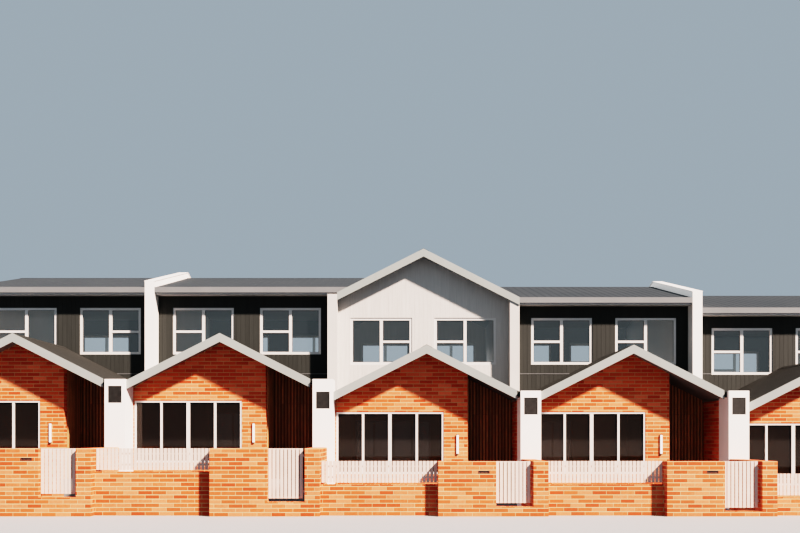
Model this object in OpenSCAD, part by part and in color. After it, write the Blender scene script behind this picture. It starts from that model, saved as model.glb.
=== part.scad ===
// Row of five two-storey terraced houses with front yards, fences and gates.
// Millimetres, Z up. The street side faces -Y and the row runs along X.
// The origin is the middle of the row's footprint, at the lowest ground.
// Heights named "above the datum" are above each house's own ground datum,
// which steps down from left to right with the street.

/* [Row] */
// Width of one house, party line to party line
pitch = 5500; // [5300:10:6000]
// Drop of the datum from house 2 to house 3
left_drop = 310; // [150:10:400]
// Drop of the datum from house 4 to house 5
right_drop = 310; // [150:10:400]
// Fall of the street along the row
ground_fall = 560; // [200:10:700]
// Ground floor level above the datum
floor_up = 150; // [100:10:300]

/* [Depths] */
// Fence face to the face of the white entry piers
yard_depth = 2330; // [1800:10:3500]
// Depth of a white entry pier, in front of the brick gable
pier_depth = 800; // [700:10:1200]
// Brick gable face to the upper front wall
room_depth = 3270; // [2600:10:4500]
// Front to rear wall of the upper storey
upper_depth = 8200; // [7600:50:10400]
// Brick gable face to the back wall of the porch
porch_depth = 1400; // [800:10:1600]
// Brick in front of a party wall, at the right of each porch
porch_wall_t = 105; // [60:5:120]
// Reach of the front gable roof past the brick gable
front_overhang = 690; // [300:10:740]
// Reach of the main eaves and wing walls past the upper walls
eave_out = 500; // [300:10:700]

/* [Walls] */
// Thickness of a party wall, wing wall or parapet blade
party_t = 290; // [250:10:340]
// Thickness of the brick outer walls
brick_t = 250; // [200:10:300]
// Thickness of the clad upper walls
clad_t = 200; // [150:10:250]
// Thickness of the porch back wall
screen_t = 150; // [120:10:200]
// Width of a white entry pier
pier_w = 540; // [450:10:640]
// Height of a white entry pier above the datum
pier_top = 2830; // [2790:10:3000]
// Width of the brick part of the front gable, beside the porch
brick_w = 3610; // [3500:10:3800]

/* [Floors] */
// Top of the upper floor above the datum
upper_floor_z = 3000; // [2950:10:3100]
// Thickness of the upper floor
upper_floor_t = 300; // [200:10:350]

/* [Front gable roofs] */
// Top of the front gable ridge above the datum
front_peak = 4060; // [3850:10:4150]
// Rise of the gable slopes for each millimetre across
gable_slope = 0.505; // [0.42:0.005:0.52]
// Thickness of the front roof, measured straight up
front_roof_t = 150; // [100:10:180]
// Height of the front barge boards, measured straight up
front_barge_h = 235; // [200:5:280]
// Gap between a front barge board and the entry pier at its right
barge_stop = 80; // [0:5:120]
// Thickness of every barge board
barge_t = 40; // [25:1:60]
// Depth of the box gutters below the roof edge
box_gutter_drop = 50; // [30:5:100]
// Thickness of the box gutter sheet
box_gutter_t = 6; // [4:1:10]
// Gap between the two slopes under a ridge capping
ridge_gap = 20; // [10:5:40]
// Reach of a ridge capping down each slope
ridge_cap_w = 150; // [100:10:220]
// Thickness of a ridge capping
ridge_cap_t = 8; // [6:1:15]
// Gap between two ridge cappings that meet
cap_clear = 5; // [3:1:10]
// Gap where a piece lies on or under a sloping face
seat_gap = 0.3; // [0.2:0.1:0.5]

/* [Main roofs] */
// Top of the main roof at its eaves, above the datum
eave_top = 5820; // [5750:10:5820]
// Top of the main ridge above the datum
ridge_top = 6840; // [6600:10:6900]
// Thickness of the main roof, measured straight up
main_roof_t = 120; // [80:10:160]
// Width of an eaves gutter
gutter_w = 120; // [100:5:160]
// Height of an eaves gutter
gutter_h = 165; // [120:5:190]
// Sheet thickness of an eaves gutter
gutter_t = 6; // [4:1:10]
// Thickness of the fascia and soffit boards
fascia_t = 20; // [15:1:30]
// Underside of the soffit above the datum
soffit_z = 5610; // [5500:10:5620]
// Height of a parapet blade above the roof beside it
blade_up = 185; // [120:5:300]
// Thickness of a parapet capping
cap_t = 15; // [10:1:30]
// Reach of a parapet capping past each face
cap_out = 15; // [10:1:30]

/* [White gable house] */
// Top of the white gable's ridge above the datum
white_peak = 7285; // [7285:5:7400]
// Thickness of the white gable's roof, measured straight up
white_roof_t = 120; // [80:10:160]
// Height of its barge boards, measured straight up
white_barge_h = 235; // [200:5:300]

/* [Ground floor windows] */
// Width of a ground floor window
front_win_w = 2930; // [2600:10:3000]
// Sill of a ground floor window above the datum
front_win_sill = 600; // [400:10:900]
// Head of a ground floor window above the datum
front_win_head = 2290; // [2100:10:2400]
// Brick between the entry pier and the window
front_win_in = 30; // [20:5:200]
// Width of the centre bar of a ground floor window
front_mid_w = 95; // [80:5:150]
// Width of the other upright bars
front_bar_w = 60; // [50:5:110]
// Setback of a ground floor window in its wall
front_reveal = 10; // [5:5:100]

/* [Upper windows] */
// Width of an upper window in the dark walls
upper_win_w = 1870; // [1600:10:1900]
// Wall between the party line and the first upper window
upper_win_in = 580; // [450:10:620]
// Wall between the two upper windows
upper_win_gap = 750; // [700:10:820]
// Width of an upper window in the white gable
white_win_w = 1890; // [1500:10:1950]
// Wall between the two windows of the white gable
white_win_gap = 680; // [600:10:850]
// Sill of an upper window above the datum
upper_win_sill = 3830; // [3800:10:4000]
// Head of an upper window above the datum
upper_win_head = 5260; // [5000:10:5300]
// Width of an upper window's frame seen from the front
upper_frame_w = 75; // [50:5:90]
// Width of the upright bar inside an upper window
upper_bar_w = 90; // [60:5:110]
// Height of the transom bar
transom_h = 65; // [40:5:80]
// Height of the transom above the sill
transom_up = 665; // [500:5:800]
// Setback of an upper window in its wall
upper_reveal = 20; // [15:5:60]

/* [Frames and glass] */
// Width of a ground floor window's frame seen from the front
frame_w = 50; // [35:5:60]
// Depth of a window frame
frame_d = 80; // [70:5:90]
// Depth of the bars in front of the glass
bar_d = 40; // [30:5:45]
// Thickness of the glass
glass_t = 12; // [6:1:20]

/* [Porch] */
// Width of an entry door
door_w = 920; // [800:10:1000]
// Height of an entry door
door_h = 2100; // [2000:10:2200]
// Thickness of an entry door
door_t = 40; // [35:1:60]
// Distance from an entry door to the party wall
door_in = 200; // [60:10:300]
// Width of the dark panel on an entry pier
panel_w = 360; // [300:10:400]
// Height of the dark panel on an entry pier
panel_h = 450; // [350:10:550]
// White band of the pier above the panel
panel_down = 180; // [120:10:260]
// How much lower the panel sits at the left of the white gable house
panel_lower = 155; // [0:5:200]
// Depth of the recess that holds the panel
panel_recess = 30; // [20:1:50]
// Thickness of the dark panel
panel_t = 15; // [8:1:18]
// Width of a wall light
light_w = 100; // [70:5:150]
// Height of a wall light
light_h = 550; // [400:10:700]
// Reach of a wall light from the brick
light_d = 50; // [30:5:90]
// Centre of a wall light from the brick corner at the porch
light_in = 330; // [250:10:430]
// Underside of a wall light above the datum
light_z = 1130; // [1000:10:1400]

/* [Fence] */
// Top of the fence above the datum
fence_top = 1020; // [900:10:1200]
// Width of a brick gate pier and of the dividing wall behind it
gate_pier_w = 360; // [320:10:400]
// Reach of a gate pier to the right of the party line
gate_pier_right = 110; // [60:10:180]
// Depth of a brick gate pier
gate_pier_d = 360; // [320:10:450]
// Clear width of a gateway
gateway_w = 900; // [850:10:1100]
// Width of the brick wall beside a gateway
fence_wall_w = 1390; // [1000:10:1600]
// Thickness of the brick fence walls
fence_wall_t = 230; // [220:10:300]
// Depth of the wall's return beside the pickets
return_d = 460; // [450:10:600]
// Width of a letter slot
slot_w = 250; // [200:10:300]
// Height of a letter slot
slot_h = 40; // [30:5:50]
// Depth of a letter slot
slot_d = 120; // [80:10:160]
// Top of a letter slot below the fence top
slot_down = 240; // [180:10:320]
// End of a letter slot from the gateway
slot_in = 170; // [120:10:300]
// Top of the plinth under the pickets, above the datum
plinth_top = 450; // [300:10:600]
// Thickness of the plinth
plinth_t = 230; // [150:10:240]
// Setback of the pickets from the fence face
picket_back = 380; // [370:5:390]
// Gap between the plinth and the pickets
picket_gap = 40; // [20:5:80]
// Width of a picket and of a gate slat
slat_w = 75; // [60:5:90]
// Smallest gap between two pickets or slats
slat_gap = 16; // [14:1:30]
// Thickness of a picket and of a gate slat
slat_t = 16; // [12:1:20]
// Height of a rail
rail_h = 45; // [35:5:60]
// Depth of a rail
rail_d = 40; // [30:5:45]
// Distance of the rails from the ends of the pickets
rail_in = 110; // [80:10:150]

/* [Gates] */
// Setback of a gate's slats from the fence face
gate_back = 144; // [140:1:160]
// Gap under a gate, above the ground
gate_under = 80; // [50:5:120]
// Width of a gate's stiles and rails
stile_w = 40; // [30:5:60]
// Gap between the latch side of a gate and its wall
latch_gap = 10; // [6:1:15]
// Distance of the hinge axis from the gate pier
hinge_out = 40; // [38:1:55]
// Distance from the hinge axis to the gate's stile
hinge_clear = 20; // [18:1:24]
// Diameter of a hinge pin
pin_d = 14; // [10:1:16]
// Running clearance round a hinge pin
pin_clear = 0.5; // [0.3:0.1:0.8]
// Wall of the sleeve that turns on a hinge pin
sleeve_t = 6; // [4:1:7]
// Height of a hinge sleeve
sleeve_h = 45; // [30:5:60]
// Thickness of a hinge bracket
bracket_t = 12; // [8:1:20]
// Running gap under a hinge sleeve
hinge_gap = 1; // [0.5:0.1:2]
// Distance of the hinges from the top and bottom of a gate
hinge_in = 150; // [100:10:220]

/* [Hidden] */
$fn = 32;

// Houses and party lines are counted from 0 at the left end of the row.
houses = 5;
white_house = 2;
dark_houses = [0, 1, 3, 4];
blade_lines = [1, 4];
wing_lines = [2, 3];
slot_houses = [0, 2, 3, 4];
lifts = [left_drop + right_drop, left_drop + right_drop, right_drop, right_drop, 0];
// House by house: shift of the first upper window to the right, change of the gap after
// it, and shift of the wall light away from the brick corner
upper_win_shifts = [80, 5, 0, -25, 0];
upper_gap_changes = [-45, 45, 0, -45, -45];
light_shifts = [35, 0, -55, -100, -100];
// For each house, whether the transom is in the right light of its two upper windows
transom_right = [[false, true], [false, false], [true, false], [false, false], [false, false]];

row_w = houses * pitch;
row_depth = yard_depth + pier_depth + room_depth + upper_depth + eave_out;
fence_y = -row_depth / 2;
pier_y = fence_y + yard_depth;
brick_y = pier_y + pier_depth;
porch_y = brick_y + porch_depth;
upper_y = brick_y + room_depth;
rear_y = upper_y + upper_depth;
ridge_y = (upper_y + rear_y) / 2;
front_edge_y = brick_y - front_overhang;
eave_y = upper_y - eave_out;
rear_eave_y = rear_y + eave_out;

half_span = pitch / 2 - pier_w / 2;
front_eave = front_peak - gable_slope * half_span;
channel_z = front_eave - front_roof_t - box_gutter_drop;
white_half = pitch / 2 + party_t / 2;
white_inner = pitch / 2 - party_t / 2;
roof_start_y = eave_y + gutter_w / 2;
main_slope = (ridge_top - eave_top) / (ridge_y - roof_start_y);
floor_under = upper_floor_z - upper_floor_t;
gate_axis_y = fence_y + gate_back + slat_t + stile_w / 2;
sleeve_d = pin_d + 2 * pin_clear + 2 * sleeve_t;
eps = 1;

function line_x(i) = (i - houses / 2) * pitch;
function centre_x(h) = line_x(h) + pitch / 2;
function line_lift(i) = lifts[max(0, i - 1)];
function right_lift(i) = lifts[min(houses - 1, i)];
function low_lift(i) = min(line_lift(i), right_lift(i));
function stepped(i) = line_lift(i) > right_lift(i);
function panel_head(i) = line_lift(i) + pier_top - panel_down - (i == white_house ? panel_lower : 0);
function ground_z(x) = ground_fall * (row_w / 2 - x) / row_w;
function brick_end(h) = line_x(h) + pier_w / 2 + brick_w;
function gate_pier_x(i) = line_x(i) + gate_pier_right - gate_pier_w;
function wall_end(h) = gate_pier_x(h + 1) - gateway_w;
function gate_axis_x(h) = gate_pier_x(h + 1) - hinge_out;
function gate_bottom(h) = ground_z(wall_end(h) + gateway_w / 2) + gate_under;
function gate_top(h) = lifts[h] + fence_top;
function roof_z(y) = eave_top + main_slope * (min(y, 2 * ridge_y - y) - roof_start_y);
function front_win_x(h) = line_x(h) + pier_w / 2 + front_win_in;
function win_w(h) = h == white_house ? white_win_w : upper_win_w;
function win_x(h, n) = h == white_house
    ? centre_x(h) + (n == 0 ? -white_win_gap / 2 - white_win_w : white_win_gap / 2)
    : line_x(h) + upper_win_in + upper_win_shifts[h]
        + n * (upper_win_w + upper_win_gap + upper_gap_changes[h]);

// A profile drawn in Y and Z, drawn out along X
module along_x(x0, x1) {
    translate([x0, 0, 0]) rotate([90, 0, 90]) linear_extrude(height = x1 - x0) children();
}

// A profile drawn in X and Z, drawn out along Y
module along_y(y0, y1) {
    translate([0, y1, 0]) rotate([90, 0, 0]) linear_extrude(height = y1 - y0) children();
}

module box(x0, x1, y0, y1, z0, z1) {
    translate([x0, y0, z0]) cube([x1 - x0, y1 - y0, z1 - z0]);
}

// The same piece on the street side and, mirrored, on the rear side
module front_and_rear() {
    children();
    translate([0, 2 * ridge_y, 0]) mirror([0, 1, 0]) children();
}

// Solid below a pair of equal slopes, for trimming what runs into them
module under_slopes(x, left, right, peak, z0, y0, y1) {
    along_y(y0, y1) polygon([[x - left, z0], [x + right, z0],
        [x + right, peak - gable_slope * right], [x, peak], [x - left, peak - gable_slope * left]]);
}

// One slope of a gable roof, from x0 to x1, of thickness t straight up
module slope_slab(x, x0, x1, peak, t, y0, y1) {
    z0 = peak - gable_slope * abs(x0 - x);
    z1 = peak - gable_slope * abs(x1 - x);
    along_y(y0, y1) polygon([[x0, z0 - t], [x1, z1 - t], [x1, z1], [x0, z0]]);
}

module gable_slabs(x, left, right, peak, t, y0, y1) {
    slope_slab(x, x - left, x - ridge_gap / 2, peak, t, y0, y1);
    slope_slab(x, x + ridge_gap / 2, x + right, peak, t, y0, y1);
}

module chevron(x, left, right, peak, h, y0, y1) {
    left_z = peak - gable_slope * left;
    right_z = peak - gable_slope * right;
    along_y(y0, y1) polygon([[x - left, left_z - h], [x, peak - h], [x + right, right_z - h],
        [x + right, right_z], [x, peak], [x - left, left_z]]);
}

// Frame of width f with its bars, standing at x, y, z, with its glass behind the bars
module window_frame(x, y, z, w, h, f, bars, transom_x, transom_w) {
    translate([x, y, z]) {
        difference() {
            cube([w, frame_d, h]);
            translate([f, -eps, f]) cube([w - 2 * f, frame_d + 2 * eps, h - 2 * f]);
        }
        for (bar = bars) translate([bar[0], 0, f]) cube([bar[1], bar_d, h - 2 * f]);
        if (transom_w > 0) translate([transom_x, 0, transom_up])
            cube([transom_w, bar_d, transom_h]);
    }
}

module window_glass(x, y, z, w, h, f) {
    translate([x + f, y + bar_d, z + f]) cube([w - 2 * f, glass_t, h - 2 * f]);
}

front_light_w = (front_win_w - 2 * frame_w - front_mid_w - 2 * front_bar_w) / 4;
front_bars = [[frame_w + front_light_w, front_bar_w],
    [(front_win_w - front_mid_w) / 2, front_mid_w],
    [front_win_w - frame_w - front_light_w - front_bar_w, front_bar_w]];

module front_window_cut(h) {
    translate([front_win_x(h), brick_y - eps, lifts[h] + front_win_sill])
        cube([front_win_w, brick_t + 2 * eps, front_win_head - front_win_sill]);
}

module upper_window_cuts(h) {
    for (n = [0, 1]) translate([win_x(h, n), upper_y - eps, lifts[h] + upper_win_sill])
        cube([win_w(h), clad_t + 2 * eps, upper_win_head - upper_win_sill]);
}

module ground_slabs() {
    color("silver") for (h = [0:houses - 1]) {
        x0 = line_x(h) + party_t / 2;
        x1 = line_x(h + 1) - party_t / 2;
        linear_extrude(height = lifts[h] + floor_up) polygon([[x0, brick_y + brick_t],
            [brick_end(h), brick_y + brick_t], [brick_end(h), brick_y], [x1, brick_y],
            [x1, rear_y - brick_t], [x0, rear_y - brick_t]]);
    }
}

module upper_floors() {
    color("burlywood") for (h = [0:houses - 1])
        box(line_x(h) + party_t / 2, line_x(h + 1) - party_t / 2, upper_y + clad_t,
            rear_y - clad_t, lifts[h] + floor_under, lifts[h] + upper_floor_z);
}

// Brick walls between the houses, up to the box gutters, with the brick wall of a porch
// against each
module party_walls() {
    color("sienna") {
        for (i = [0:houses])
            box(line_x(i) - party_t / 2, line_x(i) + party_t / 2, brick_y, rear_eave_y,
                0, low_lift(i) + channel_z - box_gutter_t);
        for (i = [1:houses])
            box(line_x(i) - party_t / 2 - porch_wall_t, line_x(i) - party_t / 2,
                brick_y, porch_y, line_lift(i) + floor_up,
                line_lift(i) + channel_z - box_gutter_t);
    }
}

// Outline of an upper wall between two houses, up to the roof or past it
module upper_party_profile(z0, up, y0, y1, foot) {
    polygon([[y0, z0 + foot], [upper_y, z0 + foot], [upper_y, z0], [y1, z0],
        [y1, up + roof_z(y1)], [ridge_y, up + ridge_top], [y0, up + roof_z(y0)]]);
}

module end_walls() {
    color("gainsboro") for (i = [0, houses])
        along_x(line_x(i) - party_t / 2, line_x(i) + party_t / 2)
            upper_party_profile(low_lift(i) + channel_z - box_gutter_t,
                line_lift(i) - main_roof_t - seat_gap, upper_y, rear_y, 0);
}

module parapet_blades() {
    color("whitesmoke") for (i = blade_lines)
        along_x(line_x(i) - party_t / 2, line_x(i) + party_t / 2)
            upper_party_profile(low_lift(i) + channel_z - box_gutter_t,
                line_lift(i) + blade_up, eave_y, rear_eave_y, box_gutter_t);
}

module parapet_cappings() {
    color("lightgray") for (i = blade_lines) {
        z = line_lift(i) + blade_up + seat_gap;
        along_x(line_x(i) - party_t / 2 - cap_out, line_x(i) + party_t / 2 + cap_out)
            polygon([[eave_y, z + roof_z(eave_y)], [ridge_y, z + ridge_top],
                [rear_eave_y, z + roof_z(rear_eave_y)], [rear_eave_y, z + roof_z(rear_eave_y) + cap_t],
                [ridge_y, z + ridge_top + cap_t], [eave_y, z + roof_z(eave_y) + cap_t]]);
    }
}

// White walls at the sides of the gable house. The left one rises to the eaves and roof
// of the higher house beside it, the right one to the gable's own roof.
module wing_walls() {
    color("whitesmoke") for (i = wing_lines) {
        z = low_lift(i) + channel_z;
        x0 = line_x(i) - party_t / 2;
        if (i == white_house) {
            soffit = line_lift(i) + soffit_z;
            up = line_lift(i) - main_roof_t - seat_gap;
            along_x(x0, x0 + party_t) polygon([[eave_y, z], [upper_y, z],
                [upper_y, z - box_gutter_t], [rear_eave_y, z - box_gutter_t],
                [rear_eave_y, soffit], [rear_y, soffit], [rear_y, up + roof_z(rear_y)],
                [ridge_y, up + ridge_top], [upper_y, up + roof_z(upper_y)], [upper_y, soffit],
                [eave_y, soffit]]);
        } else intersection() {
            union() {
                box(x0, x0 + party_t, eave_y + barge_t, upper_y, z, lifts[white_house] + white_peak);
                box(x0, x0 + party_t, upper_y, rear_eave_y - barge_t, z - box_gutter_t,
                    lifts[white_house] + white_peak);
            }
            under_slopes(centre_x(white_house), white_half, white_half,
                lifts[white_house] + white_peak - white_roof_t - seat_gap, 0, eave_y, rear_eave_y);
        }
    }
}

module entry_piers() {
    color("whitesmoke") for (i = [0:houses]) {
        top = line_lift(i) + pier_top;
        difference() {
            box(line_x(i) - pier_w / 2, line_x(i) + pier_w / 2, pier_y, brick_y, 0, top);
            box(line_x(i) - panel_w / 2, line_x(i) + panel_w / 2, pier_y - eps,
                pier_y + panel_recess, panel_head(i) - panel_h, panel_head(i));
        }
    }
}

module pier_panels() {
    color("dimgray") for (i = [0:houses])
        box(line_x(i) - panel_w / 2, line_x(i) + panel_w / 2, pier_y + panel_recess - panel_t,
            pier_y + panel_recess, panel_head(i) - panel_h, panel_head(i));
}

// Brick gable fronts beside the porches
module front_gable_walls() {
    color("chocolate") for (h = [0:houses - 1]) difference() {
        intersection() {
            box(line_x(h) + party_t / 2, brick_end(h), brick_y, brick_y + brick_t,
                0, lifts[h] + front_peak);
            union() {
                under_slopes(centre_x(h), half_span, half_span,
                    lifts[h] + front_peak - front_roof_t - seat_gap, 0, brick_y, brick_y + brick_t);
                box(line_x(h) + party_t / 2, line_x(h) + pier_w / 2, brick_y, brick_y + brick_t,
                    0, low_lift(h) + channel_z - box_gutter_t);
            }
        }
        front_window_cut(h);
    }
}

module room_side_walls() {
    color("chocolate") for (h = [0:houses - 1]) intersection() {
        box(brick_end(h) - brick_t, brick_end(h), brick_y + brick_t, porch_y + screen_t,
            lifts[h] + floor_up, lifts[h] + front_peak);
        under_slopes(centre_x(h), half_span, half_span,
            lifts[h] + front_peak - front_roof_t - seat_gap, 0, brick_y, upper_y);
    }
}

function door_x(h) = line_x(h + 1) - party_t / 2 - porch_wall_t - door_in - door_w;

module porch_back_walls() {
    color("saddlebrown") for (h = [0:houses - 1]) difference() {
        intersection() {
            box(brick_end(h), line_x(h + 1) - party_t / 2, porch_y, porch_y + screen_t,
                lifts[h] + floor_up, lifts[h] + front_peak);
            union() {
                under_slopes(centre_x(h), half_span, half_span,
                    lifts[h] + front_peak - front_roof_t - seat_gap, 0, porch_y, porch_y + screen_t);
                box(brick_end(h), line_x(h + 1) - party_t / 2, porch_y, porch_y + screen_t,
                    0, lifts[h] + channel_z - box_gutter_t);
            }
        }
        box(door_x(h), door_x(h) + door_w, porch_y - eps, porch_y + screen_t + eps,
            lifts[h] + floor_up - eps, lifts[h] + floor_up + door_h);
    }
}

module entry_doors() {
    color("saddlebrown") for (h = [0:houses - 1])
        box(door_x(h), door_x(h) + door_w, porch_y, porch_y + door_t,
            lifts[h] + floor_up, lifts[h] + floor_up + door_h);
}

module front_gable_roofs() {
    color("dimgray") for (h = [0:houses - 1])
        gable_slabs(centre_x(h), half_span, half_span, lifts[h] + front_peak, front_roof_t,
            front_edge_y + barge_t, upper_y);
}

module front_barges() {
    color("whitesmoke") for (h = [0:houses - 1])
        chevron(centre_x(h), half_span, half_span - barge_stop, lifts[h] + front_peak,
            front_barge_h, front_edge_y, front_edge_y + barge_t);
}

// Sheet channels between the front roofs, on top of the party walls. Where the roofs step
// down, the sheet is folded up over the porch wall.
module box_gutters() {
    t = box_gutter_t;
    color("gray") for (i = [0:houses]) {
        x0 = line_x(i) - pier_w / 2;
        x1 = line_x(i) + pier_w / 2;
        z = low_lift(i) + channel_z;
        left_top = line_lift(i) + front_eave - t;
        right_top = right_lift(i) + front_eave - t;
        fold_end = stepped(i) ? porch_y + screen_t : brick_y;
        if (stepped(i)) {
            xs = line_x(i) - party_t / 2;
            zh = line_lift(i) + channel_z;
            along_y(brick_y, fold_end) polygon([[xs, z - t], [x1, z - t], [x1, right_top],
                [x1 - t, right_top], [x1 - t, z], [xs + t, z], [xs + t, zh], [x0 + t, zh],
                [x0 + t, left_top], [x0, left_top], [x0, zh - t], [xs, zh - t]]);
        }
        along_y(fold_end, upper_y) polygon([[x0, z - t], [x1, z - t], [x1, right_top],
            [x1 - t, right_top], [x1 - t, z], [x0 + t, z], [x0 + t, left_top], [x0, left_top]]);
    }
}

// Upper wall of one dark house, up to the underside of the main roof
module dark_wall(h) {
    difference() {
        along_x(line_x(h) + party_t / 2, line_x(h + 1) - party_t / 2)
            polygon([[upper_y, lifts[h] + floor_under], [upper_y + clad_t, lifts[h] + floor_under],
                [upper_y + clad_t, lifts[h] + roof_z(upper_y + clad_t) - main_roof_t - seat_gap],
                [upper_y, lifts[h] + roof_z(upper_y) - main_roof_t - seat_gap]]);
        upper_window_cuts(h);
    }
}

module dark_front_walls() {
    color("darkslategray") for (h = dark_houses) dark_wall(h);
}

module dark_rear_walls() {
    color("darkslategray") for (h = dark_houses)
        translate([0, 2 * ridge_y, 0]) mirror([0, 1, 0]) dark_wall(h);
}

module white_gable_walls() {
    h = white_house;
    color("whitesmoke") front_and_rear() difference() {
        intersection() {
            box(line_x(h) + party_t / 2, line_x(h + 1) - party_t / 2, upper_y, upper_y + clad_t,
                lifts[h] + floor_under, lifts[h] + white_peak);
            under_slopes(centre_x(h), white_half, white_half,
                lifts[h] + white_peak - white_roof_t - seat_gap, 0, upper_y, upper_y + clad_t);
        }
        upper_window_cuts(h);
    }
}

module rear_brick_walls() {
    color("chocolate") for (h = [0:houses - 1]) translate([0, brick_y + rear_y, 0]) mirror([0, 1, 0])
        difference() {
            box(line_x(h) + party_t / 2, line_x(h + 1) - party_t / 2, brick_y, brick_y + brick_t,
                0, lifts[h] + floor_under);
            front_window_cut(h);
        }
}

module ground_windows() {
    children();
    translate([0, brick_y + rear_y, 0]) mirror([0, 1, 0]) children();
}

module ground_window_frames() {
    color("white") ground_windows() for (h = [0:houses - 1])
        window_frame(front_win_x(h), brick_y + front_reveal, lifts[h] + front_win_sill,
            front_win_w, front_win_head - front_win_sill, frame_w, front_bars, 0, 0);
}

module ground_window_glass() {
    color("lightslategray") ground_windows() for (h = [0:houses - 1])
        window_glass(front_win_x(h), brick_y + front_reveal, lifts[h] + front_win_sill,
            front_win_w, front_win_head - front_win_sill, frame_w);
}

module upper_window_frames() {
    color("white") front_and_rear() for (h = [0:houses - 1]) for (n = [0, 1]) {
        bar_x = (win_w(h) - upper_bar_w) / 2;
        window_frame(win_x(h, n), upper_y + upper_reveal, lifts[h] + upper_win_sill, win_w(h),
            upper_win_head - upper_win_sill, upper_frame_w, [[bar_x, upper_bar_w]],
            transom_right[h][n] ? bar_x + upper_bar_w : upper_frame_w, bar_x - upper_frame_w);
    }
}

module upper_window_glass() {
    color("lightslategray") front_and_rear() for (h = [0:houses - 1]) for (n = [0, 1])
        window_glass(win_x(h, n), upper_y + upper_reveal, lifts[h] + upper_win_sill, win_w(h),
            upper_win_head - upper_win_sill, upper_frame_w);
}

// Ends of the main roof of a dark house: at a blade, at the row's end, or where it
// runs on over the gable house until its slopes meet
function roof_x0(h) = h == 0 ? line_x(0) - party_t / 2
    : h == white_house + 1 ? centre_x(white_house) : line_x(h) + party_t / 2;
function roof_x1(h) = h == houses - 1 ? line_x(houses) + party_t / 2
    : h == white_house - 1 ? centre_x(white_house) : line_x(h + 1) - party_t / 2;

// Cuts what runs on over the gable house where it meets that house's slopes and capping
module met_by_gable() {
    x = centre_x(white_house);
    top = lifts[white_house] + white_peak + seat_gap;
    reach = ridge_cap_w + cap_clear;
    difference() {
        children();
        under_slopes(x, white_inner, white_half, top, 0, eave_y - eps, rear_eave_y + eps);
        under_slopes(x, reach, reach, top + ridge_cap_t + seat_gap, 0,
            eave_y - eps, rear_eave_y + eps);
    }
}

module main_roofs() {
    color("dimgray") front_and_rear() met_by_gable() for (h = dark_houses)
        along_x(roof_x0(h), roof_x1(h)) {
            y0 = roof_start_y;
            y1 = ridge_y - ridge_gap / 2;
            z0 = lifts[h] + roof_z(y0);
            z1 = lifts[h] + roof_z(y1);
            polygon([[y0, z0 - main_roof_t], [y1, z1 - main_roof_t], [y1, z1], [y0, z0]]);
        }
}

module white_gable_roof() {
    color("dimgray") gable_slabs(centre_x(white_house), white_inner, white_half,
        lifts[white_house] + white_peak, white_roof_t, eave_y + barge_t, rear_eave_y - barge_t);
}

module white_gable_barges() {
    color("whitesmoke") front_and_rear()
        chevron(centre_x(white_house), white_inner, white_half, lifts[white_house] + white_peak,
            white_barge_h, eave_y, eave_y + barge_t);
}

// Capping bent over a ridge, as a profile across it
module cap_profile(c, top, slope) {
    z = top - slope * ridge_cap_w;
    polygon([[c - ridge_cap_w, z], [c, top], [c + ridge_cap_w, z],
        [c + ridge_cap_w, z + ridge_cap_t], [c, top + ridge_cap_t],
        [c - ridge_cap_w, z + ridge_cap_t]]);
}

module front_ridge_cap(x, peak, y0, y1) {
    along_y(y0, y1) cap_profile(x, peak + seat_gap, gable_slope);
}

module ridge_cappings() {
    color("dimgray") {
        for (h = [0:houses - 1])
            front_ridge_cap(centre_x(h), lifts[h] + front_peak, front_edge_y, upper_y);
        front_ridge_cap(centre_x(white_house), lifts[white_house] + white_peak, eave_y, rear_eave_y);
        met_by_gable() for (h = dark_houses) {
            reach = ridge_cap_w + cap_clear;
            x0 = h == white_house + 1 ? centre_x(white_house) + reach : roof_x0(h);
            x1 = h == white_house - 1 ? centre_x(white_house) - reach : roof_x1(h);
            along_x(x0, x1) cap_profile(ridge_y, lifts[h] + ridge_top + seat_gap, main_slope);
        }
    }
}

module eaves_gutters() {
    color("wheat") front_and_rear() met_by_gable() for (h = dark_houses) {
        z1 = lifts[h] + eave_top;
        z0 = z1 - gutter_h;
        y1 = eave_y + gutter_w;
        low = z1 - main_roof_t;
        along_x(roof_x0(h), roof_x1(h)) polygon([[eave_y, z0], [y1, z0], [y1, low],
            [y1 - gutter_t, low], [y1 - gutter_t, z0 + gutter_t],
            [eave_y + gutter_t, z0 + gutter_t], [eave_y + gutter_t, z1], [eave_y, z1]]);
    }
}

// Fascia board behind each gutter, with the soffit board back to the wall
module eaves_boards() {
    color("gray") front_and_rear() met_by_gable() for (h = dark_houses) {
        z0 = lifts[h] + soffit_z;
        y0 = eave_y + gutter_w;
        y1 = y0 + fascia_t;
        top0 = lifts[h] + roof_z(y0) - main_roof_t - seat_gap;
        top1 = lifts[h] + roof_z(y1) - main_roof_t - seat_gap;
        along_x(roof_x0(h), roof_x1(h)) polygon([[y0, z0], [upper_y, z0],
            [upper_y, z0 + fascia_t], [y1, z0 + fascia_t], [y1, top1], [y0, top0]]);
    }
}

module wall_lights() {
    color("white") for (h = [0:houses - 1]) {
        x = brick_end(h) - light_in - light_shifts[h];
        box(x - light_w / 2, x + light_w / 2, brick_y - light_d, brick_y,
            lifts[h] + light_z, lifts[h] + light_z + light_h);
    }
}

// Brick wall beside each gateway, with a return beside the pickets
module fence_walls() {
    color("chocolate") for (h = [0:houses - 1]) {
        x1 = wall_end(h);
        x0 = x1 - fence_wall_w;
        top = lifts[h] + fence_top;
        difference() {
            union() {
                box(x0, x1, fence_y, fence_y + fence_wall_t, 0, top);
                box(x0, x0 + fence_wall_t, fence_y, fence_y + return_d, 0, top);
            }
            if (len(search(h, slot_houses)) > 0)
                box(x1 - slot_in - slot_w, x1 - slot_in, fence_y - eps, fence_y + slot_d,
                    top - slot_down - slot_h, top - slot_down);
        }
    }
}

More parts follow.
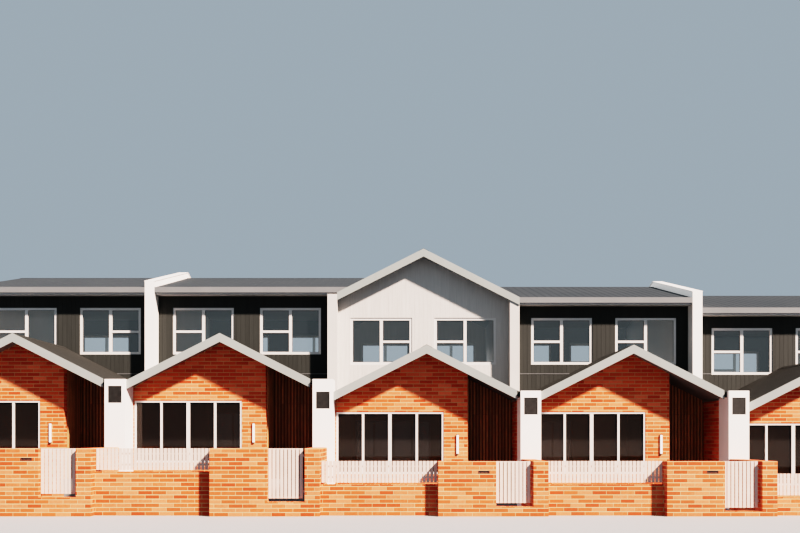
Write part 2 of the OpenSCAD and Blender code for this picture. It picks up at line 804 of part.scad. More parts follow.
module gate_piers() {
    color("chocolate") for (i = [0:houses])
        box(gate_pier_x(i), gate_pier_x(i) + gate_pier_w, fence_y, fence_y + gate_pier_d,
            0, line_lift(i) + fence_top);
}

module dividing_walls() {
    color("chocolate") for (i = [0:houses])
        box(gate_pier_x(i), gate_pier_x(i) + gate_pier_w, fence_y + gate_pier_d, pier_y,
            0, line_lift(i) + fence_top);
}

// Low brick under the pickets and the footings under the gates
module fence_plinths() {
    mid = fence_y + picket_back + slat_t / 2;
    color("chocolate") for (h = [0:houses - 1]) {
        box(gate_pier_x(h) + gate_pier_w, wall_end(h) - fence_wall_w, mid - plinth_t / 2,
            mid + plinth_t / 2, 0, lifts[h] + plinth_top);
        box(wall_end(h), gate_pier_x(h + 1), fence_y, fence_y + fence_wall_t, 0,
            gate_bottom(h) - gate_under);
    }
}

// Upright slats with equal gaps, filling the width from x0 to x1
module slats(x0, x1, y, z0, z1, end_gap) {
    n = floor((x1 - x0 - 2 * end_gap + slat_gap) / (slat_w + slat_gap));
    gap = (x1 - x0 - 2 * end_gap - n * slat_w) / (n - 1);
    for (k = [0:n - 1]) translate([x0 + end_gap + k * (slat_w + gap), y, z0])
        cube([slat_w, slat_t, z1 - z0]);
}

module picket_fence(h) {
    x0 = gate_pier_x(h) + gate_pier_w;
    x1 = wall_end(h) - fence_wall_w;
    y = fence_y + picket_back;
    z0 = lifts[h] + plinth_top + picket_gap;
    z1 = lifts[h] + fence_top;
    color("white") {
        slats(x0, x1, y, z0, z1, slat_gap);
        for (z = [z0 + rail_in, z1 - rail_in - rail_h])
            box(x0, x1, y + slat_t, y + slat_t + rail_d, z, z + rail_h);
    }
}

// Heights of the two hinge brackets of a gate
function hinge_heights(h) = [gate_bottom(h) + hinge_in, gate_top(h) - hinge_in - sleeve_h];

module gate_hinges() {
    color("lightgray") for (h = [0:houses - 1]) for (z = hinge_heights(h))
        translate([gate_axis_x(h), gate_axis_y, z]) {
            translate([-pin_d / 2, -pin_d, -hinge_gap - bracket_t])
                cube([hinge_out + pin_d / 2, 2 * pin_d, bracket_t]);
            translate([0, 0, -hinge_gap]) cylinder(d = pin_d, h = hinge_gap + sleeve_h);
        }
}

// Slatted gate leaf with its hinge sleeves
module gate(h) {
    x1 = gate_axis_x(h) - hinge_clear;
    x0 = wall_end(h) + latch_gap;
    y0 = gate_axis_y - stile_w / 2;
    y1 = gate_axis_y + stile_w / 2;
    z0 = gate_bottom(h);
    z1 = gate_top(h);
    color("white") {
        box(x0, x0 + stile_w, y0, y1, z0, z1);
        box(x1 - stile_w, x1, y0, y1, z0, z1);
        for (z = [z0, z1 - stile_w]) box(x0, x1, y0, y1, z, z + stile_w);
        slats(x0, x1, y0 - slat_t, z0, z1, 0);
        for (z = hinge_heights(h)) translate([gate_axis_x(h), gate_axis_y, z]) difference() {
            union() {
                cylinder(d = sleeve_d, h = sleeve_h);
                translate([-hinge_clear - eps, -sleeve_t, 0])
                    cube([hinge_clear + eps, 2 * sleeve_t, sleeve_h]);
            }
            translate([0, 0, -eps]) cylinder(d = pin_d + 2 * pin_clear, h = sleeve_h + 2 * eps);
        }
    }
}

ground_slabs();
upper_floors();
party_walls();
end_walls();
parapet_blades();
parapet_cappings();
wing_walls();
entry_piers();
pier_panels();
front_gable_walls();
room_side_walls();
porch_back_walls();
entry_doors();
front_gable_roofs();
front_barges();
box_gutters();
dark_front_walls();
dark_rear_walls();
white_gable_walls();
rear_brick_walls();
ground_window_frames();
ground_window_glass();
upper_window_frames();
upper_window_glass();
main_roofs();
white_gable_roof();
white_gable_barges();
ridge_cappings();
eaves_gutters();
eaves_boards();
wall_lights();
fence_walls();
gate_piers();
dividing_walls();
fence_plinths();
gate_hinges();
picket_fence(0);  // picket_fence_1
picket_fence(1);  // picket_fence_2
picket_fence(2);  // picket_fence_3
picket_fence(3);  // picket_fence_4
picket_fence(4);  // picket_fence_5
gate(0);  // gate_1
gate(1);  // gate_2
gate(2);  // gate_3
gate(3);  // gate_4
gate(4);  // gate_5
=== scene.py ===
import math
import random
from collections import Counter

import bpy
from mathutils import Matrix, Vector


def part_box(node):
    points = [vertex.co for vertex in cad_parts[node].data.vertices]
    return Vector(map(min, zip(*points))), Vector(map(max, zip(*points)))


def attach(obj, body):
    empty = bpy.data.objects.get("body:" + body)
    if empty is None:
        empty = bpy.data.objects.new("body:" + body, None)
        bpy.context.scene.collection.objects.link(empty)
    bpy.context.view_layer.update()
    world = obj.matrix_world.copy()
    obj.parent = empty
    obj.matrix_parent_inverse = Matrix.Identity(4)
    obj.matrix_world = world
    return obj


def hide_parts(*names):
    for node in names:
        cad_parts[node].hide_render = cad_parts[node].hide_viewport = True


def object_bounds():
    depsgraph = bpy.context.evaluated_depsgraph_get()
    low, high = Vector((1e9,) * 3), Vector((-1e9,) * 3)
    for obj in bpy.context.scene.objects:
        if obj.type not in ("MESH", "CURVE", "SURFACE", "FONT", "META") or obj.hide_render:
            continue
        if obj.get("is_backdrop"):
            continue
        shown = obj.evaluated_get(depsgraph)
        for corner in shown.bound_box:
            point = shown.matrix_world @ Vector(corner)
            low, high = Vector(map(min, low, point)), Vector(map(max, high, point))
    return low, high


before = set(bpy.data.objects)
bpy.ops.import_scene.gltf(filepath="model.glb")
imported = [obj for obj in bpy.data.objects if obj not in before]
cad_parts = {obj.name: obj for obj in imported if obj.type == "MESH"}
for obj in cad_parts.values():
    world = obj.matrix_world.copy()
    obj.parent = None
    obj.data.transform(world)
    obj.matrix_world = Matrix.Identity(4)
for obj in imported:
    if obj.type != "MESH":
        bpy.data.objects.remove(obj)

bl_info = {
    "name": "Terraced House Row",
    "version": (1, 0, 0),
    "blender": (4, 5, 0),
    "location": "View3D > Sidebar > House Row",
    "description": "Brickwork, cladding, roofing and finishes of a row of five terraced houses",
    "category": "Object",
}

HOUSES = range(1, 6)
# Whether the transom of an upper window is in its right light, from left to right
TRANSOM_RIGHT = (False, True, False, False, True, False, False, False, False, False)
# Metres. How deep the pieces are let into the face that they sit on
ROOT = -0.002
# Places closer than this count as one
NEAR = 0.01
# Least height and length of a part of a course or board
LEAST_CUT, LEAST_LENGTH = 0.012, 0.02
# Chamfers of the bricks, the boards and the porch battens
BRICK_EDGE, BOARD_EDGE, BATTEN_EDGE = 0.0015, 0.001, 0.003
# How far the joint strip stands out from the boards
STRIP_D = 0.012
# Sloping side of a roof rib, place of the first rib, and gap at its ends
RIB_SIDE, RIB_START, RIB_END = 0.014, 0.1, 0.004
# Level under which a ridge capping belongs to the front gables
LOW_ROOF_TOP = 4.8
# How far a sash lies behind the bars, and the seal stands out from the glass
SASH_IN, SEAL_D = 0.008, 0.006
# Height of the plate at each end of a lit bar, and thickness of the plate behind it
LAMP_CAP, LAMP_BACK = 0.018, 0.010
# Width of the frame round a letter slot, and its relief
SLOT_RIM, SLOT_PROUD = 0.014, 0.006
# Half the width of the studio floor
FLOOR_REACH = 900.0
# Ways that a face can look
FRONT, REAR, LEFT, RIGHT = (0, -1, 0), (0, 1, 0), (-1, 0, 0), (1, 0, 0)
TOP, UNDER = (0, 0, 1), (0, 0, -1)
FENCE_NODES = ("fence_walls", "gate_piers", "dividing_walls", "fence_plinths")


def measure(name, about, default, **more):
    return bpy.props.FloatProperty(name=name, description=about, default=default, **more)


def length(name, about, default):
    return measure(name, about, default, unit="LENGTH", min=0.0)


def share(name, about, default):
    return measure(name, about, default, subtype="FACTOR", min=0.0, max=1.0)


def vector(name, about, default, **more):
    return bpy.props.FloatVectorProperty(name=name, description=about, default=default, **more)


def colour(name, what, default):
    return vector(name, "Colour of " + what, default, subtype="COLOR", min=0.0, max=1.0)


def direction(name, about, default):
    return vector(name, about, default, subtype="DIRECTION")


class BrickSettings(bpy.types.PropertyGroup):
    brick_length: length("Brick length", "Length of a stretcher brick", 0.335)
    course: length("Course", "Height of one course with its bed joint", 0.102)
    joint: length("Bed joint", "Height of the level mortar joints", 0.018)
    head: length("Head joint", "Width of the upright mortar joints", 0.010)
    proud: length("Relief", "How far the bricks stand out from the mortar", 0.003)
    pale: colour("Pale brick", "the lightest bricks", (0.680, 0.176, 0.081))
    common: colour("Common brick", "most of the bricks", (0.620, 0.107, 0.033))
    dark: colour("Dark brick", "the darkest bricks", (0.500, 0.062, 0.0165))
    mortar: colour("Mortar", "the mortar", (0.600, 0.400, 0.215))


class CladdingSettings(bpy.types.PropertyGroup):
    board: length("Board", "Width of one upright board with its groove", 0.133)
    groove: length("Groove", "Width of the groove between two boards", 0.003)
    proud: length("Board thickness", "How far the dark boards stand out from the wall", 0.006)
    flush: length("White board thickness", "How far the white boards stand out", 0.0025)
    strip_z: length("Joint strip height", "Height of the strip across the dark fronts", 3.845)
    strip_h: length("Joint strip width", "Width of the strip across the dark fronts", 0.020)
    charcoal: colour("Charcoal", "the dark upper walls", (0.033, 0.036, 0.034))
    white: colour("White", "the white gable wall", (0.520, 0.494, 0.468))
    batten: length("Batten spacing", "Distance from one porch batten to the next", 0.092)
    batten_w: length("Batten width", "Width of one porch batten", 0.050)
    batten_d: length("Batten depth", "How far a porch batten stands out", 0.028)
    timber: colour("Timber", "the porch battens", (0.430, 0.225, 0.100))
    # Darker than the battens so that the gaps between them read as shade: the boards' own colour
    # with painted shade
    backing: colour("Timber backing", "the boards behind the battens", (0.250, 0.072, 0.015))


class RoofSettings(bpy.types.PropertyGroup):
    rib_gap: length("Rib spacing", "Distance between the ribs of the roof sheets", 0.25)
    rib_w: length("Rib width", "Width of a rib at its foot", 0.040)
    rib_h: length("Rib height", "Height of a rib", 0.0065)
    cap_reach: length("Capping reach", "How far a ridge capping reaches down a slope", 0.152)
    sheet: colour("Roof sheet", "the roof sheets", (0.034, 0.041, 0.046))
    low_sheet: colour("Front roof sheet", "the front gables' roof sheets", (0.026, 0.027, 0.025))
    lining: colour("Lining", "the boards under the roofs", (0.20, 0.19, 0.175))
    # Lighter than the boards' own grey: partly painted bounce light on the soffit in shade
    eaves: colour("Eaves board", "the fascia and soffit boards", (0.62, 0.61, 0.60))
    gutter: colour("Gutter", "the eaves gutters", (0.164, 0.171, 0.174))
    board: colour("Barge board", "the barge boards", (0.252, 0.277, 0.268))


class WindowSettings(bpy.types.PropertyGroup):
    frame_w: length("Ground frame", "Width of a ground floor window's frame", 0.050)
    bar_w: length("Ground bar", "Width of a ground floor window's outer bars", 0.060)
    middle_w: length("Middle bar", "Width of a ground floor window's middle bar", 0.095)
    upper_frame_w: length("Upper frame", "Width of an upper window's frame", 0.075)
    upper_bar_w: length("Upper bar", "Width of an upper window's upright bar", 0.090)
    transom_up: length("Transom height", "Height of the transom above the sill", 0.665)
    transom_h: length("Transom", "Height of the transom bar", 0.065)
    bar_d: length("Bar depth", "Depth of the bars in front of the glass", 0.040)
    sash_w: length("Sash", "Width of an opening light's own frame", 0.004)
    seal_w: length("Seal", "Width of the dark seal round the glass", 0.008)
    paint: colour("Window paint", "the window frames", (0.620, 0.600, 0.580))
    glass: colour("Upper glass", "the upper windows' glass", (0.025, 0.032, 0.036))
    # Painted reflection: the upper glass gives this colour off as an even glow that stands for the
    # sky it mirrors
    sheen: colour("Sky sheen", "the sky on the upper windows' glass", (0.235, 0.272, 0.288))
    low_glass: colour("Ground glass", "the ground floor's glass", (0.014, 0.009, 0.006))
    clear: share("Clearness", "Part of the light that one upper pane lets through", 0.88)
    low_clear: share("Ground clearness", "Part that one ground floor pane lets through", 0.35)


class FinishSettings(bpy.types.PropertyGroup):
    render: colour("Render", "the white rendered walls", (0.800, 0.770, 0.740))
    wing: colour("Wing render", "the wing walls beside the white gable", (0.520, 0.494, 0.468))
    # Partly painted light: the warm pink tint stands for light bounced off the bricks, over the
    # pickets' own white paint
    fence: colour("Fence paint", "the pickets and gates", (0.655, 0.500, 0.435))
    lamp_round: length("Lamp rounding", "Rounding of the wall lights' edges", 0.014)
    lamp_in: length("Lamp inset", "How far the lit bar stands in from the light's sides", 0.020)
    metal: colour("Metal", "the bare metal pieces", (0.45, 0.46, 0.47))


class StageSettings(bpy.types.PropertyGroup):
    eye_x: measure("Eye across", "Camera place along the row", -0.71, unit="LENGTH")
    eye_back: length("Eye distance", "Camera distance from the fence", 23.3)
    eye_up: length("Eye height", "Camera height above the base", 1.89)
    lens: measure("Lens", "Focal length of the camera", 43.65, unit="CAMERA", min=1.0)
    rise: measure("Rise", "Upward shift of the camera", 0.2144)
    sun: measure("Key light", "Strength of the key light", 12.6, min=0.0)
    sun_colour: colour("Key colour", "the key light", (1.0, 0.80, 0.70))
    sun_way: direction("Key direction", "Way that the key light travels", (-0.578, 0.5, -0.61))
    back_share: share("Back light", "Strength of the back light as a part of the key's", 0.25)
    back_way: direction("Back direction", "Way that the back light travels", (0.45, -0.9, -0.27))
    fill: colour("Fill", "the soft light all round", (0.27, 0.325, 0.375))
    floor: colour("Floor", "the studio floor", (0.30, 0.31, 0.32))


# Shader maths


class Value:
    """A shader socket that takes part in sums."""

    def __init__(self, paint, socket):
        self.paint, self.socket = paint, socket

    def _sum(self, operation, a, b):
        return self.paint.node("Math", {"operation": operation}, {0: a, 1: b})

    def __add__(self, other):
        return self._sum("ADD", self, other)

    def __sub__(self, other):
        return self._sum("SUBTRACT", self, other)

    def __rsub__(self, other):
        return self._sum("SUBTRACT", other, self)

    def __mul__(self, other):
        return self._sum("MULTIPLY", self, other)

    def __lt__(self, other):
        return self._sum("LESS_THAN", self, other)

    def __gt__(self, other):
        return self._sum("GREATER_THAN", self, other)

    __radd__, __rmul__ = __add__, __mul__


class Paint:
    """One material and the nodes that make its finish."""

    def __init__(self, name, **constants):
        self.material = bpy.data.materials.new(name)
        self.material.use_nodes = True
        tree = self.material.node_tree
        self.nodes, self.links = tree.nodes, tree.links
        self.shader = tree.nodes["Principled BSDF"]
        for socket, value in constants.items():
            self.shader.inputs[socket.replace("_", " ")].default_value = value

    def node(self, kind, settings=None, inputs=None, output=0):
        node = self.nodes.new("ShaderNode" + kind)
        for setting, value in (settings or {}).items():
            if setting == "stops":
                stops = node.color_ramp.elements
                while len(stops) < len(value):
                    stops.new(1.0)
                for stop, (place, shade) in zip(stops, value):
                    stop.position, stop.color = place, (*shade, 1.0)
            else:
                setattr(node, setting, value)
        for socket, value in (inputs or {}).items():
            if isinstance(value, Value):
                self.links.new(value.socket, node.inputs[socket])
            else:
                node.inputs[socket].default_value = value
        return Value(self, node.outputs[output])

    def place(self, stretch=(1.0, 1.0, 1.0)):
        spot = self.node("TexCoord", output="Object")
        if stretch == (1.0, 1.0, 1.0):
            return spot
        return self.node("VectorMath", {"operation": "MULTIPLY"}, {0: spot, 1: stretch})

    def noise(self, scale, detail=3.0, stretch=(1.0, 1.0, 1.0), roughness=0.55):
        inputs = {"Scale": scale, "Detail": detail, "Roughness": roughness}
        return self.node("TexNoise", None, {"Vector": self.place(stretch), **inputs}, "Fac")

    def cells(self, scale):
        inputs = {"Vector": self.place(), "Scale": scale}
        return self.node("TexVoronoi", {"feature": "F1"}, inputs, "Distance")

    def lines(self, axis, pitch, width):
        """Lines across an axis, a pitch apart. Their width is a part of the pitch."""
        place = self.part(axis) * (1.0 / pitch)
        return self.node("Math", {"operation": "FRACT"}, {0: place}) < width

    def spread(self, value, to_low=0.0, to_high=1.0, low=0.3, high=0.7):
        """Stretches the part of a value between low and high over another range."""
        inputs = {"Value": value, 1: low, 2: high, 3: to_low, 4: to_high}
        return self.node("MapRange", {"clamp": True}, inputs)

    def part(self, axis, output="Position"):
        spot = self.node("NewGeometry", output=output)
        return self.node("SeparateXYZ", None, {0: spot}, output=axis)

    def height(self):
        return self.node("SeparateXYZ", None, {0: self.place()}, output="Z")

    def tone(self):
        return self.node("Attribute", {"attribute_name": "tone"}, output="Fac")

    def mix(self, mask, a, b):
        a, b = (c if isinstance(c, Value) else (*c, 1.0) for c in (a, b))
        return self.node("Mix", {"data_type": "RGBA"}, {0: mask, 6: a, 7: b}, 2)

    def vary(self, mask, shade, low, high):
        """A shade that runs from one factor of itself to another along a mask."""
        return self.mix(mask, tinted(shade, low), tinted(shade, high))

    def shade(self, base, amount):
        """base made lighter or darker by a factor that varies over the surface."""
        grey = self.node("CombineXYZ", None, {0: amount, 1: amount, 2: amount})
        return self.node("VectorMath", {"operation": "MULTIPLY"}, {0: base, 1: grey})

    def finish(self, base, roughness=None, bump=None, strength=0.3, depth=0.002):
        for socket, value in (("Base Color", base), ("Roughness", roughness)):
            if isinstance(value, Value):
                self.links.new(value.socket, self.shader.inputs[socket])
            elif value is not None:
                self.shader.inputs[socket].default_value = value
        if bump is not None:
            inputs = {"Strength": strength, "Distance": depth, "Height": bump}
            normal = self.node("Bump", None, inputs, "Normal")
            self.links.new(normal.socket, self.shader.inputs["Normal"])
        return self.material


def tinted(colour_value, factor):
    return tuple(min(1.0, c * factor) for c in colour_value)


def brick_paint(name, settings):
    paint = Paint(name)
    tone = paint.tone() * 0.86 + paint.noise(14.0, 2.0) * 0.28
    stops = (
        (0.00, tinted(settings.dark, 0.75)),
        (0.22, settings.dark),
        (0.40, tinted(settings.common, 0.85)),
        (0.62, settings.common),
        (0.86, settings.pale),
        (1.00, tinted(settings.pale, 1.12)),
    )
    base = paint.node("ValToRGB", {"stops": stops}, {0: tone})
    grit = paint.noise(120.0, 4.0)
    base = paint.shade(base, paint.spread(grit, 0.82, 1.14))
    weather = paint.spread(paint.noise(0.6, 3.0), 0.93, 1.05, 0.35, 0.65)
    base = paint.shade(base, weather)
    return paint.finish(base, paint.spread(grit, 0.80, 0.94), grit, 0.5, 0.003)


def mortar_paint(name, settings):
    paint = Paint(name)
    sand = paint.noise(230.0, 4.0)
    patch = paint.spread(paint.noise(1.6, 4.0), low=0.35, high=0.65)
    base = paint.vary(patch, settings.mortar, 0.86, 1.08)
    base = paint.shade(base, paint.spread(sand, 0.84, 1.1))
    return paint.finish(base, 0.93, sand, 0.5, 0.002)


def render_paint(name, shade, low=0.95, high=1.03):
    paint = Paint(name)
    cloud = paint.noise(0.9, 5.0)
    grain = paint.noise(140.0, 3.0)
    base = paint.vary(paint.spread(cloud), shade, low, high)
    foot = paint.spread(paint.height() + paint.noise(5.0, 3.0) * 0.12, 0.90, 1.0, 0.04, 0.30)
    base = paint.shade(base, foot)
    return paint.finish(base, paint.spread(cloud, 0.72, 0.84), grain, 0.35, 0.0015)


def board_paint(name, shade, spread, roughness, gloss=0.5):
    paint = Paint(name, Specular_IOR_Level=gloss)
    streak = paint.noise(9.0, 4.0, (3.0, 3.0, 0.16))
    grain = paint.noise(60.0, 4.0, (2.0, 2.0, 0.05))
    base = paint.vary(paint.tone(), shade, 1.0 - spread, 1.0 + spread)
    base = paint.shade(base, paint.spread(streak, 0.93, 1.06))
    return paint.finish(base, paint.spread(streak, roughness - 0.06, roughness + 0.06),
                        grain, 0.25, 0.0012)


def timber_paint(name, shade):
    paint = Paint(name)
    grain = paint.noise(46.0, 5.0, (3.2, 3.2, 0.07), 0.65)
    fibre = paint.spread(grain, low=0.32, high=0.68)
    base = paint.vary(fibre, shade, 0.55, 1.5)
    # Random tone for each batten. Pieces with no tone, such as the backing, come out darker still:
    # painted shade behind the battens
    base = paint.shade(base, paint.tone() * 0.6 + 0.7)
    return paint.finish(base, paint.spread(grain, 0.5, 0.68), grain, 0.45, 0.0015)


def sheet_paint(name, shade, lining=None, low_shade=None, low_top=0.0):
    """Coated sheet metal, with a lining underneath and a second shade below low_top."""
    paint = Paint(name, Metallic=0.0, Specular_IOR_Level=0.2)
    cloud = paint.noise(0.7, 5.0)
    fine = paint.noise(45.0, 3.0)
    mask = paint.spread(cloud)
    base = paint.vary(mask, shade, 0.92, 1.07)
    if low_shade is not None:
        low_base = paint.vary(mask, low_shade, 0.92, 1.07)
        base = paint.mix(paint.part("Z") < low_top, base, low_base)
    base = paint.shade(base, paint.spread(fine, 0.95, 1.05))
    if lining is not None:
        under = paint.part("Z", "Normal") < -0.4
        seam = paint.lines("Y", 0.15, 0.03)
        base = paint.mix(under, base, paint.mix(seam, lining, tinted(lining, 0.45)))
    rough = paint.spread(cloud, 0.62, 0.76)
    return paint.finish(base, rough, fine, 0.12, 0.001)


def coat_paint(name, shade, roughness, coat=0.15):
    """Smooth factory coating on frames, gutters and cappings."""
    paint = Paint(name, Coat_Weight=coat)
    peel = paint.noise(320.0, 2.0)
    cloud = paint.noise(1.3, 4.0)
    base = paint.vary(paint.spread(cloud), shade, 0.95, 1.03)
    rough = paint.spread(cloud, roughness - 0.05, roughness + 0.07)
    return paint.finish(base, rough, peel, 0.12, 0.0006)


def glass_paint(name, shade, clear, sky):
    """Clear tinted glass that glows faintly and evenly: a painted reflection of the sky."""
    # The emission colour is painted light, a glow for the sky's reflection; the ground glass is
    # given black and does not glow
    paint = Paint(name, Roughness=0.04, Coat_Weight=0.3, Coat_Roughness=0.02, Alpha=1.0 - clear,
                  Emission_Color=(*sky, 1.0), Emission_Strength=1.0)
    wave = paint.spread(paint.noise(0.35, 2.0), low=0.35, high=0.65)
    base = paint.vary(wave, shade, 0.8, 1.3)
    return paint.finish(base, None, paint.noise(1.1, 1.0), 0.05, 0.01)


def picket_paint(name, shade):
    paint = Paint(name)
    grain = paint.noise(70.0, 4.0, (2.4, 2.4, 0.05))
    wear = paint.spread(paint.noise(7.0, 5.0, (1.0, 1.0, 0.4)), low=0.28, high=0.72)
    base = paint.vary(wear, shade, 0.90, 1.04)
    base = paint.shade(base, paint.spread(grain, 0.96, 1.03))
    return paint.finish(base, paint.spread(grain, 0.5, 0.66), grain, 0.3, 0.001)


def metal_paint(name, shade):
    paint = Paint(name, Metallic=0.75)
    spangle = paint.cells(55.0)
    cloud = paint.noise(2.2, 4.0)
    base = paint.vary(paint.spread(spangle, low=0.0), shade, 1.15, 0.85)
    base = paint.shade(base, paint.spread(cloud, 0.9, 1.06))
    return paint.finish(base, paint.spread(cloud, 0.32, 0.48), spangle, 0.08, 0.0005)


def concrete_paint(name):
    paint = Paint(name)
    cloud = paint.noise(1.4, 6.0)
    speck = paint.noise(180.0, 3.0)
    # Darkened so that the slab seen through the gates' gaps reads dark: the slab's own colour with
    # painted shade
    base = paint.mix(paint.spread(cloud), (0.15, 0.145, 0.135), (0.22, 0.215, 0.20))
    base = paint.shade(base, paint.spread(speck, 0.86, 1.08))
    return paint.finish(base, 0.85, speck, 0.35, 0.0015)


def floor_board_paint(name):
    paint = Paint(name)
    grain = paint.noise(22.0, 5.0, (0.12, 3.0, 3.0))
    base = paint.mix(paint.spread(grain), (0.36, 0.22, 0.11), (0.58, 0.40, 0.23))
    groove = paint.lines("Y", 0.14, 0.03)
    base = paint.mix(groove, base, (0.10, 0.06, 0.03))
    return paint.finish(base, paint.spread(grain, 0.42, 0.58), grain, 0.25, 0.001)


def panel_paint(name):
    paint = Paint(name, Metallic=0.2)
    cloud = paint.noise(9.0, 5.0)
    mesh = paint.cells(95.0)
    base = paint.mix(paint.spread(cloud), (0.0095, 0.0098, 0.0092), (0.0205, 0.0205, 0.0195))
    base = paint.shade(base, paint.spread(mesh, 0.7, 1.1, 0.15, 0.5))
    return paint.finish(base, 0.55, mesh, 0.4, 0.0015)


def mottled_paint(name, low, high, scale, detail, rough, bump, metallic=0.0):
    """Faint patches that run from a low to a high shade."""
    paint = Paint(name, Metallic=metallic)
    cloud = paint.noise(scale, detail)
    base = paint.mix(paint.spread(cloud), low, high)
    return paint.finish(base, paint.spread(cloud, *rough), cloud, bump, 0.0005)


def lamp_paint(name):
    paint = Paint(name, Emission_Strength=0.25, Emission_Color=(1.0, 0.98, 0.95, 1.0),
                  Coat_Weight=0.3)
    cloud = paint.noise(6.0, 3.0)
    base = paint.mix(paint.spread(cloud), (0.80, 0.80, 0.79), (0.86, 0.86, 0.85))
    return paint.finish(base, paint.spread(cloud, 0.22, 0.32), cloud, 0.05, 0.0005)


_paints = {}


def finish_of(name):
    """The material of that name, made the first time that it is asked for."""
    if name not in _paints:
        scene = bpy.context.scene
        bricks, cladding = scene.house_row_bricks, scene.house_row_cladding
        roofs, windows = scene.house_row_roofs, scene.house_row_windows
        finishes = scene.house_row_finishes
        makers = {
            "brick": (brick_paint, bricks),
            "mortar": (mortar_paint, bricks),
            "white_render": (render_paint, finishes.render),
            "wing_render": (render_paint, finishes.wing),
            "dark_boards": (board_paint, cladding.charcoal, 0.07, 0.62, 0.2),
            "white_boards": (board_paint, cladding.white, 0.02, 0.55),
            "dark_timber": (timber_paint, cladding.timber),
            "timber_backing": (timber_paint, cladding.backing),
            "roof_sheet": (sheet_paint, roofs.sheet, roofs.lining),
            "front_sheet": (sheet_paint, roofs.low_sheet, roofs.lining),
            "roof_capping": (sheet_paint, tinted(roofs.sheet, 1.15), None,
                             tinted(roofs.low_sheet, 1.15), LOW_ROOF_TOP),
            "gutter": (coat_paint, roofs.gutter, 0.42),
            "grey_board": (coat_paint, roofs.eaves, 0.5, 0.0),
            "barge_board": (render_paint, roofs.board, 0.93, 1.05),
            "pale_metal": (metal_paint, finishes.metal),
            "window_paint": (coat_paint, windows.paint, 0.34, 0.2),
            "upper_glass": (glass_paint, windows.glass, windows.clear, windows.sheen),
            "ground_glass": (glass_paint, windows.low_glass, windows.low_clear, (0.0, 0.0, 0.0)),
            "white_capping": (coat_paint, finishes.render, 0.45),
            "white_fence": (picket_paint, finishes.fence),
            "white_lamp": (lamp_paint,),
            "concrete": (concrete_paint,),
            "floor_board": (floor_board_paint,),
            "dark_panel": (panel_paint,),
            "dark_seal": (mottled_paint, (0.012, 0.012, 0.013), (0.030, 0.030, 0.032),
                          150.0, 2.0, (0.6, 0.6), 0.2),
            "dark_bronze": (mottled_paint, (0.045, 0.038, 0.033), (0.085, 0.072, 0.062),
                            20.0, 4.0, (0.35, 0.5), 0.1, 0.6),
        }
        maker, *values = makers[name]
        _paints[name] = maker(name, *values)
    return _paints[name]


# Reading the frame's flat faces


def spot(point):
    return (round(point[0], 4), round(point[1], 4), round(point[2], 4))


def islands(groups):
    """Joins lists of points that share a point. Gives the lists of each island."""
    owner, parent = {}, list(range(len(groups)))

    def root(i):
        while parent[i] != i:
            parent[i] = parent[parent[i]]
            i = parent[i]
        return i

    for i, points in enumerate(groups):
        for point in points:
            if point in owner:
                parent[root(i)] = root(owner[point])
            else:
                owner[point] = i
    found = {}
    for i, points in enumerate(groups):
        found.setdefault(root(i), []).append(points)
    return found.values()


def node_polygons(node):
    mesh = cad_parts[node].data
    return [
        ([spot(mesh.vertices[v].co) for v in polygon.vertices], polygon.normal.copy())
        for polygon in mesh.polygons
    ]


def solid_boxes(node):
    """Lowest and highest corner of each separate solid of a node, from left to right."""
    boxes = []
    for island in islands([points for points, _ in node_polygons(node)]):
        axes = list(zip(*(point for points in island for point in points)))
        boxes.append((Vector([min(axis) for axis in axes]), Vector([max(axis) for axis in axes])))
    return sorted(boxes, key=lambda b: (round(b[0].x, 2), b[0].y))


class FlatFace:
    """One flat outline on the frame, with its own directions: along is level, up climbs."""

    def __init__(self, normal, offset, polygons):
        self.normal, self.offset = normal, offset
        level = abs(normal.z) > 0.99
        self.along = Vector((1, 0, 0)) if level else Vector((-normal.y, normal.x, 0)).normalized()
        self.up = normal.cross(self.along)
        uses = Counter(
            (min(a, b), max(a, b))
            for points in polygons
            for a, b in zip(points, points[1:] + points[:1])
        )
        self.edges = [(self.flat(a), self.flat(b)) for (a, b), n in uses.items() if n == 1]

    def flat(self, point):
        return Vector(point).dot(self.along), Vector(point).dot(self.up)

    def size(self):
        across, rise = zip(*(point for edge in self.edges for point in edge))
        return min(across), max(across), min(rise), max(rise)

    def swapped(self):
        return [((a[1], a[0]), (b[1], b[0])) for a, b in self.edges]


def flat_faces(node, *ways, least=0.95):
    """The node's flat outlines that look one of those ways, one for each island."""
    for way in ways:
        planes = []
        for points, normal in node_polygons(node):
            if normal.dot(Vector(way)) < least:
                continue
            offset = normal.dot(Vector(points[0]))
            for plane in planes:
                if (plane[0] - normal).length < 0.01 and abs(plane[1] - offset) < 5e-4:
                    plane[2].append(points)
                    break
            else:
                planes.append((normal, offset, [points]))
        for normal, offset, groups in planes:
            for island in islands(groups):
                face = FlatFace(normal, offset, island)
                if face.edges:
                    yield face


def crossings(edges, level):
    hits = sorted(
        a[0] + (level - a[1]) * (b[0] - a[0]) / (b[1] - a[1])
        for a, b in edges
        if (a[1] > level) != (b[1] > level)
    )
    return list(zip(hits[::2], hits[1::2]))


def bands(edges, pitch, gap, start=0.0):
    """Parallel bands across an outline, split where it steps: number, low, high and their spans."""
    low = min(min(a[1], b[1]) for a, b in edges)
    high = max(max(a[1], b[1]) for a, b in edges)
    steps = sorted({round(a[1], 4) for a, b in edges if abs(a[1] - b[1]) < 1e-5})
    number = math.floor((low - start) / pitch)
    while start + number * pitch < high:
        bottom = start + number * pitch + gap / 2
        top = bottom + pitch - gap
        inner = [s for s in steps if bottom + LEAST_CUT < s < top - LEAST_CUT]
        cuts = [bottom, *inner, top]
        for t0, t1 in zip(cuts, cuts[1:]):
            lower, upper = crossings(edges, t0 + 1e-4), crossings(edges, t1 - 1e-4)
            if len(lower) != len(upper):
                lower = upper = crossings(edges, (t0 + t1) / 2)
            for span0, span1 in zip(lower, upper):
                yield number, t0, t1, span0, span1
        number += 1


# Gathering small solids into meshes


